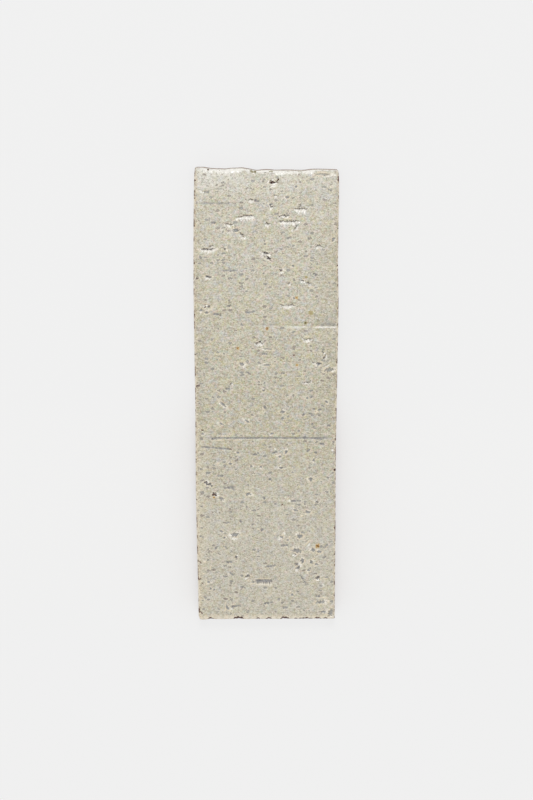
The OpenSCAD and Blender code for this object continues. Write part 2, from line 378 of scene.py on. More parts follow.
# Pits that the glaze has filled: [across, along, length, width, turn]
POOLED_PITS = [
    [-0.226, -0.305, 4.2, 2.2, 0], [0.24, -0.308, 2.9, 2.3, -10], [0.22, -0.3415, 4.4, 2.4, -8],
    [0.336, -0.34, 2.5, 1.9, 0], [0.381, -0.344, 2.4, 1.5, 0], [0.108, -0.31, 1.8, 1.4, 30],
    [0.152, -0.317, 1.4, 1.1, 0], [0.37, 0.079, 2.4, 1.6, 15], [-0.133, -0.2115, 2.8, 1.7, 0],
    [-0.323, -0.222, 2.8, 1.7, -30], [0.315, -0.178, 2.6, 1.7, 0], [0.26, -0.365, 2.1, 2.3, 0],
    [-0.173, 0.079, 2.8, 1.7, -10], [0.005, 0.077, 4.6, 1.1, 0], [0.004, 0.1125, 5.2, 1.1, -6],
    [0.147, 0.4, 1.4, 1, 0], [0.443, 0.0665, 4.8, 2, 8], [0.397, -0.4615, 5, 1.8, 5],
    [0.416, -0.483, 2.6, 1.3, 0], [-0.283, -0.4735, 2.6, 1.3, -55], [0.476, -0.484, 4.6, 3.1, 45],
    [0.186, -0.444, 1.6, 1.4, 0], [-0.212, 0.368, 3.6, 1.7, 12], [0.142, 0.438, 1.8, 1.4, 20],
    [0.194, 0.223, 1.2, 1, 0], [0.185, 0.292, 1.3, 1.1, 0], [0.03, 0.423, 1.8, 1.1, 0],
    [0.204, 0.46, 2, 1.1, 50], [0.464, 0.349, 2.4, 1.4, 60], [0.398, 0.4893, 7.6, 1.3, -2],
    [-0.308, -0.01, 4, 1.3, -35], [-0.138, -0.0475, 2.7, 1.1, -35], [0.297, -0.2525, 2.6, 1.5, -15],
    [-0.415, 0.192, 2, 1.3, 0], [-0.405, 0.3275, 6, 1.1, 0], [-0.402, 0.269, 3.2, 1.2, -8],
    [0.113, -0.026, 2.6, 1.3, 0], [0.425, -0.0045, 1.8, 1.2, -40], [0.29, 0.004, 1.3, 1.2, 0],
    [0.04, -0.075, 1.7, 1.2, 0], [0.14, -0.1165, 1.8, 1.7, 0], [0.095, -0.1265, 2, 1.2, -10],
    [0.338, -0.135, 1.3, 1.5, 0], [0.207, -0.2485, 2.2, 1.1, -5], [-0.325, -0.297, 2, 1, -20],
    [-0.302, -0.311, 1.3, 1.2, 0], [-0.421, -0.4145, 2, 1.1, -5], [-0.405, -0.43, 1.4, 1.2, 0],
    [-0.378, -0.432, 1.3, 1, 0], [0.325, -0.368, 1.6, 2, 0], [0.362, -0.373, 2.2, 1.2, -10],
    [0.303, -0.387, 1.4, 1.2, 0], [-0.452, -0.076, 1.6, 1, 0], [-0.203, -0.118, 1.5, 1.4, 0],
    [-0.258, -0.143, 1.5, 1.6, -40], [-0.108, -0.149, 1.7, 1, 0], [-0.04, -0.15, 1.3, 1.3, 0],
    [-0.322, -0.053, 1.8, 1.2, -30], [-0.45, 0.1965, 1.6, 1.3, 20],
]
# Fine slits: [across, along, length, turn]
SLITS = [
    [-0.366, 0.384, 2.3, 0], [-0.065, 0.431, 2.6, -5], [-0.263, 0.206, 1.9, 20],
    [-0.414, 0.449, 2.2, -3], [-0.346, 0.188, 3.8, -5], [-0.129, 0.192, 2.8, -8],
    [-0.015, 0.102, 2.4, -3], [-0.129, 0.06, 2.4, -20], [0.116, 0.059, 1.6, 0], [-0.274, 0.025, 2.2, 5],
    [-0.482, 0.031, 2, 25], [0.318, 0.007, 1.5, 25], [0.113, -0.042, 1.5, 30], [0.053, -0.118, 2.2, 20],
    [-0.085, -0.122, 2.6, -8], [-0.33, -0.17, 3, -6], [-0.266, -0.197, 5.4, 4], [0.027, -0.178, 1.6, 0],
    [0.193, -0.2275, 2.6, 0], [-0.279, -0.277, 1.9, 0], [-0.184, -0.274, 1.6, -50],
    [-0.03, -0.293, 1.7, 30], [0.427, -0.331, 2.8, 40], [0.13, -0.329, 3.6, 3], [0.419, -0.357, 2, 30],
    [-0.269, -0.368, 3.4, 2], [0.035, -0.377, 4.8, 6], [-0.254, -0.395, 2.6, -45],
    [-0.174, -0.426, 2.2, 0], [0.012, -0.463, 4.8, 10], [0.089, -0.455, 1.5, 70],
    [-0.22, -0.47, 4.6, 6], [0.139, -0.473, 2.6, 5], [0.374, -0.4475, 2.4, 0], [0.255, -0.403, 3, -50],
    [0.285, -0.417, 2.6, -40], [0.3, 0.351, 1.6, 20], [0.158, 0.352, 2, 25], [0.338, 0.274, 1.8, -30],
    [-0.235, -0.201, 1.8, -35], [0.335, -0.0205, 1.2, 60], [0.38, -0.0215, 1.5, 10],
    [0.325, -0.034, 1.3, 0], [0.375, -0.034, 1, 0], [0.262, -0.0335, 1.4, 60],
    [0.325, -0.0545, 1.2, 60], [0.343, -0.0625, 2, -40], [0.447, -0.057, 2, 5], [0.395, -0.098, 2.2, 0],
    [0.385, -0.088, 1.2, 0], [0.298, -0.113, 2, 30], [0.35, -0.118, 1.4, -40], [0.487, -0.118, 1.3, 80],
    [-0.018, -0.2205, 1.6, -50], [-0.26, -0.252, 1.5, 20], [-0.465, -0.3095, 2, -20],
    [0.262, -0.3, 1.6, -20], [-0.243, -0.4735, 1.6, -60], [-0.448, -0.45, 2, -50],
    [-0.06, -0.342, 1.3, 60], [-0.09, -0.34, 1.3, 0], [-0.292, -0.335, 1.8, -50],
    [-0.366, -0.335, 1.8, 60], [-0.372, -0.0865, 2.6, 8], [-0.012, -0.0165, 2, -60],
]
# Pits burst open, with a rim of thin glaze: [across, along, length, width, turn, bare clay from 0 to 1]
BURST_PITS = [
    [-0.426, -0.186, 1.6, 1.7, 30, 0.42], [-0.406, -0.189, 2, 1.6, -20, 0.1],
    [-0.388, -0.193, 1.4, 1, 20, 0.2], [-0.374, -0.213, 2.3, 1.8, 20, 0.6],
    [0.04, 0.4708, 2.6, 1.9, 8, 1], [0.219, -0.3735, 2.2, 1.2, -10, 0.3],
    [0.23, -0.3805, 2.7, 1.3, 22, 0.3], [0.373, -0.4045, 2.3, 1.8, 30, 0.38],
    [-0.136, -0.3995, 2.8, 1.4, 0, 0.2], [-0.222, -0.356, 1.4, 1.4, 0, 0],
    [-0.402, 0.2045, 1.6, 1.4, 10, 0.2], [-0.425, 0.203, 1.1, 0.9, 0, 0.6],
    [-0.476, 0.265, 1.6, 1.2, 0, 0.5], [-0.29, 0.3285, 1.5, 1, -20, 0.1],
    [-0.019, 0.0215, 1.5, 1, 0, 0], [0.104, -0.1525, 2.2, 1, -15, 0], [0.361, -0.23, 2.4, 0.9, 8, 0],
    [-0.005, 0.3195, 3.4, 1.1, -6, 0.5], [0.017, 0.308, 2.4, 1.5, -52, 0.45],
    [0.1, 0.2825, 1.9, 1.2, 0, 0.5],
]
# Painted highlights on glossy shallow dips beside the pits: [across, along, length, width, turn]
PAINTED_HIGHLIGHT_SPOTS = [
    [-0.264, -0.306, 1.8, 1.8, 0], [-0.234, -0.3135, 3.4, 1, 0], [-0.148, -0.406, 2.6, 0.8, 20],
    [-0.254, -0.476, 1.1, 0.8, 0], [0.215, -0.385, 1.5, 1.2, 40], [0.1, -0.312, 1.2, 1.2, 0],
    [0.131, -0.302, 1.2, 0.9, 40], [0.306, -0.327, 2.2, 0.8, 45], [0.41, -0.42, 0.8, 1, 0],
    [0.043, 0.461, 3.4, 1.1, 0], [0.012, 0.472, 1, 1.8, 0], [0.058, 0.461, 2.2, 0.9, 40],
    [0.01, 0.318, 2.4, 0.9, -20], [0.108, 0.277, 1.9, 1.1, 0], [0.3, 0.25, 2, 0.8, 0],
    [0.145, 0.203, 3.6, 1.3, 5], [0.178, 0.368, 1.3, 1.4, 70], [0.265, 0.257, 1.4, 1, 20],
    [-0.15, 0.351, 2.2, 1.1, 20], [0.485, 0.475, 0.9, 1.3, 80], [0.475, -0.112, 1.2, 1.2, 0],
    [0.428, 0.075, 2.2, 0.8, 35], [0.332, 0.082, 0.7, 1.2, 20], [0.412, 0.094, 0.6, 1.8, -20],
    [-0.452, 0.45, 2.2, 1, -35], [-0.436, 0.447, 1.8, 0.8, 0], [0.222, -0.388, 1.8, 0.7, 20],
    [0.095, -0.313, 1.6, 0.7, 50], [0.126, -0.3, 1.6, 0.7, 50], [0.365, -0.409, 2, 0.7, 0],
    [-0.33, -0.0085, 2.4, 0.8, -38], [-0.127, -0.043, 1, 0.7, -30], [0.062, -0.109, 1, 0.9, 0],
    [0.068, -0.124, 0.8, 0.7, 0], [0.164, -0.2265, 1.5, 1, 0], [-0.426, -0.187, 0.9, 0.7, 0],
]
# Thin cream ridges that the wire pushed up: [across, along, length, width, turn]
CREAM_RIDGES = [
    [0.115, -0.306, 4.4, 0.8, 50], [0.165, -0.311, 2, 0.7, 55], [0.3, -0.322, 4.4, 0.9, 48],
    [0.225, -0.3, 1.2, 0.9, 0], [0.262, -0.306, 1, 1.6, 20], [0.345, -0.36, 2.6, 0.7, 30],
    [0.42, -0.451, 3.6, 0.8, -5], [0.45, -0.46, 1.4, 1.6, 30], [0.43, -0.406, 3.6, 0.7, 10],
    [0.3, -0.394, 2.4, 0.7, -45], [0.365, -0.41, 3, 1, 5], [0.06, -0.302, 1.4, 0.7, 50],
    [-0.445, -0.368, 2.6, 0.8, 10], [-0.455, -0.395, 1.8, 0.8, -40], [-0.405, -0.382, 0.8, 2.2, -10],
    [-0.44, -0.42, 2.4, 0.7, 20], [-0.1, -0.418, 2.6, 0.8, 10], [-0.13, -0.411, 2.4, 0.8, -15],
    [-0.24, -0.466, 2.4, 0.7, 5], [-0.3, -0.478, 1.6, 0.9, 40], [0.17, -0.438, 1.6, 0.7, 20],
    [-0.43, 0.212, 3.6, 0.6, -3], [-0.395, 0.1975, 2.6, 0.7, 0], [-0.285, 0.408, 3, 0.6, -10],
    [-0.105, 0.403, 3, 0.7, 8], [0.15, 0.393, 4.4, 0.8, 0], [0.285, 0.139, 3.6, 0.7, 0],
    [0.06, 0.398, 3, 0.5, 5], [0.385, 0.4935, 6.4, 1.2, 0], [0.12, 0.291, 2.4, 0.8, 25],
    [0.15, -0.222, 1.6, 1, 30], [0.19, -0.239, 1.8, 0.9, -30], [0.25, -0.262, 2, 1.1, 40],
    [0.281, -0.257, 1, 1.1, 0], [-0.06, -0.292, 1.8, 0.7, -20], [-0.3, -0.0805, 6, 0.7, 0],
    [-0.34, -0.0905, 4, 0.7, 0], [-0.2, -0.09, 5, 0.6, 0], [0.355, -0.0275, 2, 0.9, 40],
    [0.345, -0.0925, 1.4, 0.9, -30], [0.14, -0.111, 2, 0.7, 0], [-0.345, -0.1415, 1, 1, 0],
    [-0.02, -0.022, 1, 0.8, 0],
]
# Short cracks, open to the red clay: [across, along, length, turn]
CLAY_CRACKS = [
    [-0.478, -0.369, 1.6, -45], [-0.487, -0.407, 2.2, 0], [-0.466, -0.417, 1, -60],
    [-0.478, -0.484, 1.8, -50], [-0.48, 0.031, 2.2, 20], [0.193, 0.098, 1.2, 15],
    [0.114, -0.236, 1.3, 0], [-0.451, -0.067, 1.4, 0], [-0.257, -0.1105, 1.2, 0],
]
# Specks of iron in the glaze: [across, along, size, olive from 0 to 1]
IRON_SPECKS = [
    [0.21, 0.2235, 1.3, 0.35], [0.004, 0.157, 1.4, 0], [-0.202, 0.114, 1.2, 0.1],
    [0.215, 0.077, 1.2, 0.3], [0.31, 0.191, 2, 0.8], [0.274, 0.169, 1.4, 1], [0.277, 0.268, 1.2, 0.8],
    [-0.376, -0.219, 0.9, 0.2], [0.369, -0.3305, 1.8, 0],
]
# Chips off the far and near edges: [across, length, reach, pulled in, drop, tan, bare]
FAR_CHIPS = [
    [-0.405, 2.6, 0.8, 0.3, 0.5, 0.3, 1], [-0.335, 5.4, 0.6, 0.1, 0.2, 0.4, 0.9],
    [-0.092, 3.6, 1.3, 0.4, 0.7, 1, 0.2], [0.03, 2.6, 1, 0.3, 0.5, 0.9, 0.3],
    [0.155, 3.4, 0.7, 0.1, 0.3, 0.7, 0.5], [0.225, 3, 0.6, 0.1, 0.3, 0.8, 0.3],
]
NEAR_CHIPS = [
    [-0.408, 3.8, 1.4, 0.1, 0.3, 0.4, 0.8], [-0.204, 5.2, 1.8, 0.25, 0.7, 0.3, 1],
    [-0.06, 2.2, 1.2, 0.05, 0.2, 0.5, 0.8], [0.015, 3, 1.4, 0.1, 0.3, 0.4, 0.9],
    [0.132, 4.6, 1.7, 0.2, 0.6, 0.4, 0.9], [0.215, 1.6, 1.2, 0.05, 0.2, 0.6, 0.8],
    [0.285, 7.4, 1.2, 0.05, 0.3, 0.6, 0.9], [0.375, 3.4, 1.4, 0.05, 0.3, 0.6, 1],
    [0.432, 2.6, 1.2, 0.05, 0.2, 0.6, 0.8],
]
# Nicks in the left and right edges: [along, length, reach, pulled in, drop, tan, bare]
LEFT_NICKS = [
    [0.474, 1.6, 0.9, 0.2, 0.3, 0.6, 0.8], [0.45, 1.2, 0.6, 0.1, 0.3, 0.6, 0.6],
    [0.436, 1.2, 0.7, 0.1, 0.3, 0.6, 0.6], [0.378, 1.5, 0.8, 0.1, 0.3, 0.6, 0.7],
    [0.298, 1.6, 0.8, 0.1, 0.3, 0.5, 0.8], [0.187, 1, 0.8, 0.1, 0.3, 0.5, 0.7],
    [0.1, 1.3, 0.7, 0.1, 0.3, 0.5, 0.8], [0.06, 1.2, 0.6, 0.1, 0.3, 0.6, 0.7],
    [-0.06, 1.2, 0.7, 0.1, 0.3, 0.6, 0.7], [-0.134, 1.2, 0.8, 0.1, 0.3, 0.5, 0.7],
    [-0.187, 2.4, 0.6, 0.1, 0.2, 0.5, 0.9], [-0.225, 1, 0.8, 0.1, 0.3, 0.5, 0.7],
    [-0.335, 1.1, 0.7, 0.1, 0.3, 0.5, 0.9], [-0.366, 1.4, 0.8, 0.2, 0.3, 0.6, 0.8],
    [-0.48, 3, 1, 0.2, 0.4, 0.6, 0.7],
]
RIGHT_NICKS = [
    [0.48, 4.4, 0.9, 0.2, 0.3, 0.3, 1], [0.44, 1, 0.7, 0.1, 0.3, 0.5, 0.7],
    [0.372, 1.2, 0.7, 0.1, 0.3, 0.5, 0.7], [0.293, 1.2, 0.8, 0.2, 0.3, 0.4, 0.9],
    [0.25, 3.6, 0.6, 0.1, 0.2, 0.5, 0.8], [0.2, 1.4, 0.7, 0.1, 0.3, 0.5, 0.7],
    [0.086, 3.4, 0.7, 0.1, 0.3, 0.4, 0.9], [-0.022, 1.8, 0.8, 0.1, 0.3, 0.6, 0.7],
    [-0.062, 1.2, 0.7, 0.1, 0.3, 0.5, 0.9], [-0.088, 1.8, 0.8, 0.1, 0.3, 0.5, 0.7],
    [-0.157, 1.4, 1.3, 0.3, 0.6, 0.3, 1], [-0.185, 3.6, 0.5, 0.1, 0.2, 0.4, 0.9],
    [-0.218, 1, 0.7, 0.1, 0.3, 0.5, 0.7], [-0.288, 2.6, 0.8, 0.1, 0.3, 0.4, 1],
    [-0.326, 1.2, 0.8, 0.1, 0.3, 0.5, 0.8], [-0.35, 1.4, 0.7, 0.1, 0.3, 0.5, 0.9],
    [-0.376, 1, 0.7, 0.1, 0.3, 0.5, 0.8], [-0.395, 1.4, 0.7, 0.1, 0.3, 0.5, 0.9],
    [-0.417, 4.4, 0.6, 0.1, 0.2, 0.5, 0.8], [-0.446, 1.2, 0.7, 0.1, 0.3, 0.5, 0.8],
]
# Pause lines of the wire: [along, from, to, width, turn, depth, pooled]
WIRE_LINES = [
    [-0.085, -0.43, 0.48, 1.1, 0, 0.18, 1], [-0.1075, -0.47, -0.25, 1.1, -5, 0.16, 1],
    [-0.215, 0.08, 0.2, 0.9, 1, 0.06, 0.4], [0.425, -0.46, -0.24, 1.1, 0, 0.08, 0.7],
    [0.164, -0.24, 0.12, 1, 0, 0.05, 0.2], [0.282, -0.31, -0.2, 1.1, 0, 0.06, 0.9],
    [0.2545, 0.14, 0.33, 0.8, 0, 0.04, 0.3], [0.2505, 0.24, 0.35, 0.8, 0, 0.04, 0.4],
    [0.455, -0.36, -0.3, 0.9, 0, 0.05, 0.4],
]
# The slot that the wire combed out: [across, along, length, width, turn]
COMBED_SLOT = [-0.020, -0.4137, 7.7, 2.3, 0]
# Where the wire jumped, the far side of the line lies lower: [along, from, to, drop]
WIRE_STEPS = [
    [0.1605, 0.12, 0.30, 0.14],
    [0.1600, 0.31, 0.51, 0.40],
]
LIP_OFFSET = 0.35
LIP_WIDTH = 0.2
LIP_LEAN = math.radians(20)
THROAT_WIDTH = 0.7
THROAT_DEPTH = 0.3
DEPTH_GAIN = 1.6
SLIT_WIDTH = 1.25
LINE_BAND = 0.8
STEP_BAND = 2.4
FAR_CHIP_PLACE, FAR_CHIP_BAND = 0.49, 5.0
NEAR_CHIP_PLACE, NEAR_CHIP_BAND = -0.5, 3.0
NICK_BAND = 2.4
FINE_MARGIN = 0.5

# Every hollow again, as the oblong that it takes up: [across, along, length, width, turn]
hollows = [[*tear[:3], 2 * tear[3], tear[5]] for tear in DRAG_TEARS + SIDE_TEARS]
hollows += POOLED_PITS + PAINTED_HIGHLIGHT_SPOTS + CREAM_RIDGES + [pit[:5] for pit in BURST_PITS] + [COMBED_SLOT]
hollows += [[*slit[:3], SLIT_WIDTH, slit[3]] for slit in SLITS + CLAY_CRACKS]
hollows += [[*speck[:3], speck[2], 0] for speck in IRON_SPECKS]
for along, start, end, _, turn, *_ in WIRE_LINES:
    hollows.append([(start + end) / 2, along, (end - start) * WIDTH / MM, LINE_BAND, turn])
for along, start, end, _ in WIRE_STEPS:
    hollows.append([(start + end) / 2, along, (end - start) * WIDTH / MM, STEP_BAND, 0])
hollows += [[chip[0], FAR_CHIP_PLACE, chip[1], FAR_CHIP_BAND, 0] for chip in FAR_CHIPS]
hollows += [[chip[0], NEAR_CHIP_PLACE, chip[1], NEAR_CHIP_BAND, 0] for chip in NEAR_CHIPS]
hollows += [[-0.5, nick[0], NICK_BAND, nick[1], 0] for nick in LEFT_NICKS]
hollows += [[0.5, nick[0], NICK_BAND, nick[1], 0] for nick in RIGHT_NICKS]


def seen_from(places, across, along, turn):
    """How far points lie right of a place of the face and up from it, in millimetres, after a turn."""
    right = (places[:, 0] - across * WIDTH) / MM
    up = (places[:, 1] - along * LENGTH) / MM
    turn = math.radians(turn)
    return (
        right * math.cos(turn) + up * math.sin(turn),
        up * math.cos(turn) - right * math.sin(turn),
    )


def mesh_array(items, name):
    """The places of a mesh's vertices, or the centres of its faces."""
    values = np.empty(3 * len(items), np.float32)
    items.foreach_get(name, values)
    return values.reshape(-1, 3).astype(float)


# The grid is made three times as fine round every hollow.
centres = mesh_array(tile.data.polygons, "center")
near_hollow = np.zeros(len(centres), bool)
for across, along, long, wide, turn in hollows:
    right, up = seen_from(centres, across, along, turn)
    near_hollow |= (abs(right) < long / 2 + FINE_MARGIN) & (abs(up) < wide / 2 + FINE_MARGIN)
near_hollow &= centres[:, 2] > THICKNESS - 1.1 * SIDE_EDGE_R
bpy.ops.object.mode_set(mode="EDIT")
bpy.ops.mesh.select_mode(type="FACE")
bpy.ops.mesh.select_all(action="DESELECT")
bpy.ops.object.mode_set(mode="OBJECT")
tile.data.polygons.foreach_set("select", near_hollow)
bpy.ops.object.mode_set(mode="EDIT")
bpy.ops.mesh.subdivide(number_cuts=2, ngon=False)
bpy.ops.object.mode_set(mode="OBJECT")

MARKS = ("pooled", "thin", "gloss_and_painted_highlight", "deep_pool_and_painted_shade", "tan", "bare", "iron", "olive", "rim", "cut end")
places = mesh_array(tile.data.vertices, "co")
depth = np.zeros(len(places))
undercut = np.zeros(len(places))
marks = {name: np.zeros(len(places)) for name in MARKS}
rng = random.Random(7)


def smooth(value, start, end):
    """0 up to start, 1 from end, and a smooth rise between."""
    t = np.clip((value - start) / (end - start), 0, 1)
    return t * t * (3 - 2 * t)


def fade(value, start, end):
    """1 up to start, 0 from end, and a smooth fall between."""
    return 1 - smooth(value, start, end)


def wobble(along, size, waves=(3.1, 1.3, 0.6)):
    """A ragged line, about size high, for points at those millimetres along it."""
    line = 0
    for height, wave in zip((0.5, 0.35, 0.3), waves):
        line = line + height * np.sin(2 * math.pi * (along / wave + rng.random()))
    return size * line


def ragged(right, up, amount, wave=1.1):
    """Unevenness over the face, mostly between -amount and amount, in lumps about wave / 2 across."""
    total = 0
    for _ in range(5):
        heading = rng.uniform(0, 2 * math.pi)
        size = wave * rng.uniform(0.5, 1.3)
        cross = right * math.cos(heading) + up * math.sin(heading)
        total = total + np.sin(2 * math.pi * (cross / size + rng.random()))
    return amount * total / 2.5


def add_mark(name, where, amount):
    """Marks those vertices by that amount, where they aren't marked by more already."""
    marks[name][where] = np.maximum(marks[name][where], amount)


def window(across, along, reach, turn=0):
    """The vertices of the face within reach millimetres of a place, and what seen_from says of them."""
    where = np.flatnonzero(
        (abs(places[:, 0] - across * WIDTH) < reach * MM)
        & (abs(places[:, 1] - along * LENGTH) < reach * MM)
        & (places[:, 2] > THICKNESS - SIDE_EDGE_R)
    )
    return where, *seen_from(places[where], across, along, turn)


def tear_open(across, along, long, apron, deep, turn, bare):
    """A drag tear: a wall under the lip, a throat below it painted dark as shade, and an apron that
    slopes back up.
    """
    deep *= DEPTH_GAIN
    where, right, up = window(across, along, long / 2 + 2 * apron + 1, turn)
    bow = rng.uniform(-0.12, 0.12) * long
    up = up + LIP_OFFSET + wobble(right, 0.3) + bow * ((2 * right / long) ** 2 - 0.4)
    up = up + ragged(right, up, 0.2)
    taper = np.clip(1 - (2 * right / long) ** 2, 0, 1) ** 0.6
    reach = 0.35 + apron * np.clip(0.25 + 0.75 * taper + wobble(right, 0.3, (2.4, 1.1, 0.5)), 0.1, 1.3)
    throat_width = THROAT_WIDTH * (0.6 + 0.6 * deep) * (1 + wobble(right, 0.4, (2.9, 1.2, 0.7)))
    below = up <= 0
    slope = taper * np.where(below, np.clip(1 + up / reach, 0, 1), 0)
    throat = taper * np.where(below, np.clip(1 + up / throat_width, 0, 1), 0)
    wall = taper * np.where(below, 0, np.clip(1 - up / LIP_WIDTH, 0, 1))
    sunk = deep * (slope + wall) + THROAT_DEPTH * (throat + wall)
    depth[where] += sunk
    undercut[where] += math.tan(LIP_LEAN) * sunk
    # The wall and throat are painted dark as shade, in grey glaze where bare is 0 and red clay where it
    # is 1.
    dark = smooth(throat + wall, 0.2, 0.55) * np.clip(0.72 + ragged(right, up, 0.4), 0.2, 1)
    add_mark("deep_pool_and_painted_shade", where, dark * (1 - bare))
    add_mark("bare", where, dark * bare)
    # The apron, which faces the far end, bears a painted highlight.
    patchy = np.clip(0.9 + ragged(right, up, 0.3), 0, 1)
    add_mark("gloss_and_painted_highlight", where, smooth(slope, 0.0, 0.12) * (1 - dark) * patchy)
    rim = taper * smooth(up, 0.0, 0.1) * fade(up, 0.35, 0.7)
    add_mark("thin", where, rim * np.clip(0.5 + wobble(right, 1.0, (3.3, 1.6, 0.8)), 0, 1))


def sink_pit(across, along, long, wide, turn, deep, pooled, deep_pool_and_painted_shade, bare, rough=0.25):
    """A ragged pit of pooled glaze, painted shade and bare clay, with a thin rim and a painted
    highlight.
    """
    where, right, up = window(across, along, max(long, wide) / 2 + 1.5, turn)
    angle = np.arctan2(up, right)
    distance = np.hypot(2 * right / long, 2 * up / wide) * (1 + wobble(angle * long / 2, 0.25))
    distance += ragged(right, up, rough)
    shape = fade(distance, 0.35, 1.0)
    depth[where] += deep * shape
    add_mark("pooled", where, pooled * fade(distance, 0.55, 0.95))
    add_mark("deep_pool_and_painted_shade", where, deep_pool_and_painted_shade * fade(distance, 0.45, 0.85))
    add_mark("bare", where, bare * fade(distance, 0.35, 0.85))
    halo = smooth(distance, 0.7, 1.0) * fade(distance, 1.15, 1.7)
    add_mark("thin", where, halo * np.clip(0.8 + ragged(right, up, 0.4), 0, 1))
    glint = np.clip(wobble(angle, 1.6, (6.3, 3.1, 2.1)), 0, 1)
    add_mark("gloss_and_painted_highlight", where, (0.6 + 0.9 * deep_pool_and_painted_shade) * halo * glint)


def cut_line(across, along, long, wide, turn, deep, pooled, thin, rough):
    """A slit or a line of the wire, darker here and there with deep glaze and painted shade, with a
    thin rim on its near side.
    """
    where, right, up = window(across, along, long / 2 + wide + 1, turn)
    uneven = ragged(right, up, rough)
    up = up + wobble(right, 0.1) + 0.3 * uneven
    taper = smooth(1 - abs(2 * right / long), 0, 0.2)
    taper = taper * np.clip(0.85 + wobble(right, 0.3) + uneven, 0.2, 1)
    shape = taper * fade(abs(up), 0.1 * wide, 0.55 * wide)
    depth[where] += deep * shape
    add_mark("pooled", where, pooled * shape)
    deep_pool_and_shade_patches = np.clip(0.35 + wobble(right, 0.9, (4.3, 1.7, 0.9)), 0, 1)
    add_mark("deep_pool_and_painted_shade", where, 0.65 * pooled * shape * deep_pool_and_shade_patches)
    bright = np.clip(0.5 + wobble(right, 1.0, (3.7, 1.9, 0.8)), 0, 1)
    add_mark("thin", where, thin * bright * taper * fade(abs(up + 0.6 * wide), 0, 0.5))


def comb_slot(across, along, long, wide, turn):
    """A slot with a straight far side and a near side like the teeth of a comb."""
    where, right, up = window(across, along, long / 2 + wide + 1, turn)
    up = up + wobble(right, 0.12)
    comb = 0.5 + 0.5 * np.sin(2 * math.pi * (right + wobble(right, 0.3)) / 0.95)
    ends = smooth(long / 2 - abs(right), 0, 0.4)
    inside = ends * smooth(wide / 2 - up, -0.1, 0.25) * smooth(wide / 2 + up - comb, -0.15, 0.3)
    depth[where] += 0.3 * inside
    add_mark("pooled", where, inside * np.clip(0.85 + ragged(right, up, 0.3), 0, 1))
    # Deep glaze and painted shade inside the slot.
    add_mark("deep_pool_and_painted_shade", where, inside * np.clip(0.25 + ragged(right, up, 0.4), 0, 0.6))
    beyond = abs(up) - 0.5 * wide
    rim = ends * smooth(beyond, -0.8, -0.2) * fade(beyond, 0.2, 0.7) * (1 - inside)
    add_mark("thin", where, 0.7 * rim)
    # A painted highlight on the teeth of its near rim.
    add_mark("gloss_and_painted_highlight", where, 0.5 * rim * comb * (up < 0))


def thin_spot(across, along, long, wide, turn, deep, mark, amount):
    """A spot of the given mark, thin glaze or a painted highlight, on a slope that falls or on a ridge,
    where deep is below 0.
    """
    where, right, up = window(across, along, max(long, wide), turn)
    spot = fade(np.hypot(2 * right / long, 2 * up / wide) + ragged(right, up, 0.35), 0.5, 1.1)
    depth[where] += deep * spot
    add_mark(mark, where, amount * spot)


for tear in DRAG_TEARS + SIDE_TEARS:
    tear_open(*tear)
for pit in POOLED_PITS:
    sink_pit(*pit, deep=0.22 * pit[3], pooled=min(1.0, 3.6 / pit[2]), deep_pool_and_painted_shade=0.0, bare=0.0)
for *pit, bare in BURST_PITS:
    sink_pit(*pit, deep=0.4 * pit[3], pooled=0.8, deep_pool_and_painted_shade=0.5 + 0.5 * bare, bare=bare, rough=0.4)
for across, along, long, turn in SLITS:
    cut_line(across, along, long, SLIT_WIDTH, turn, deep=0.28, pooled=1.0, thin=1.0, rough=0.6)
for along, start, end, wide, turn, deep, pooled in WIRE_LINES:
    across = (start + end) / 2
    long = (end - start) * WIDTH / MM
    cut_line(across, along, long, wide, turn, deep, pooled, thin=0.5 * pooled, rough=0.15)
comb_slot(*COMBED_SLOT)
for rim in PAINTED_HIGHLIGHT_SPOTS:
    thin_spot(*rim, deep=0.12, mark="gloss_and_painted_highlight", amount=0.8)
for ridge in CREAM_RIDGES:
    thin_spot(*ridge, deep=-0.10, mark="thin", amount=1.0)
for across, along, long, turn in CLAY_CRACKS:
    where, right, up = window(across, along, long, turn)
    up = up + wobble(right, 0.3)
    crack = smooth(1 - abs(2 * right / long), 0, 0.3) * fade(abs(up), 0.15, 0.5)
    depth[where] += 0.25 * crack
    add_mark("bare", where, 0.6 * crack)
for across, along, size, olive in IRON_SPECKS:
    where, right, up = window(across, along, size + 1)
    speck = fade(np.hypot(right, up) / size + ragged(right, up, 0.12, 0.9), 0.1, 0.8)
    add_mark("iron", where, speck * (1 - olive))
    add_mark("olive", where, speck * olive)
for along, start, end, drop in WIRE_STEPS:
    across = (start + end) / 2
    half = (end - start) * WIDTH / MM / 2
    where, right, up = window(across, along, half + 2)
    ends = smooth(half - abs(right), 0, 0.45 * half)
    up = up + wobble(right, 0.1)
    depth[where] += drop * ends * smooth(up, -0.5, 0.3) * fade(up, 0.6, 3.2)
    # The dip beyond the step is greyed as pooled glaze and painted shade, and its crest bears a painted
    # highlight.
    shade = np.clip(0.7 + right / half, 0, 1) * smooth(up, 0.2, 0.8) * fade(up, 0.8, 3.0)
    add_mark("pooled", where, 3.0 * max(drop - 0.2, 0) * ends * shade)
    crest = smooth(up, -0.5, -0.2) * fade(up, 0.0, 0.4)
    crest = crest * np.clip(0.85 + wobble(right, 0.5), 0, 1)
    add_mark("gloss_and_painted_highlight", where, min(4 * drop, 1) * ends * crest)

# The whole face rolls a little, and carries the grain of the dragged clay.
SWELLS = [[22, 16, 0.10], [6, 4, 0.06], [2.4, 1.5, 0.05]]  # [size across, size along, height]
for index in np.flatnonzero(places[:, 2] > THICKNESS - SIDE_EDGE_R):
    x, y, _ = places[index] / MM
    depth[index] += sum(
        high * (0.5 + 0.5 * noise.noise(Vector((x / across, y / along, 7.3 * across))))
        for across, along, high in SWELLS
    )

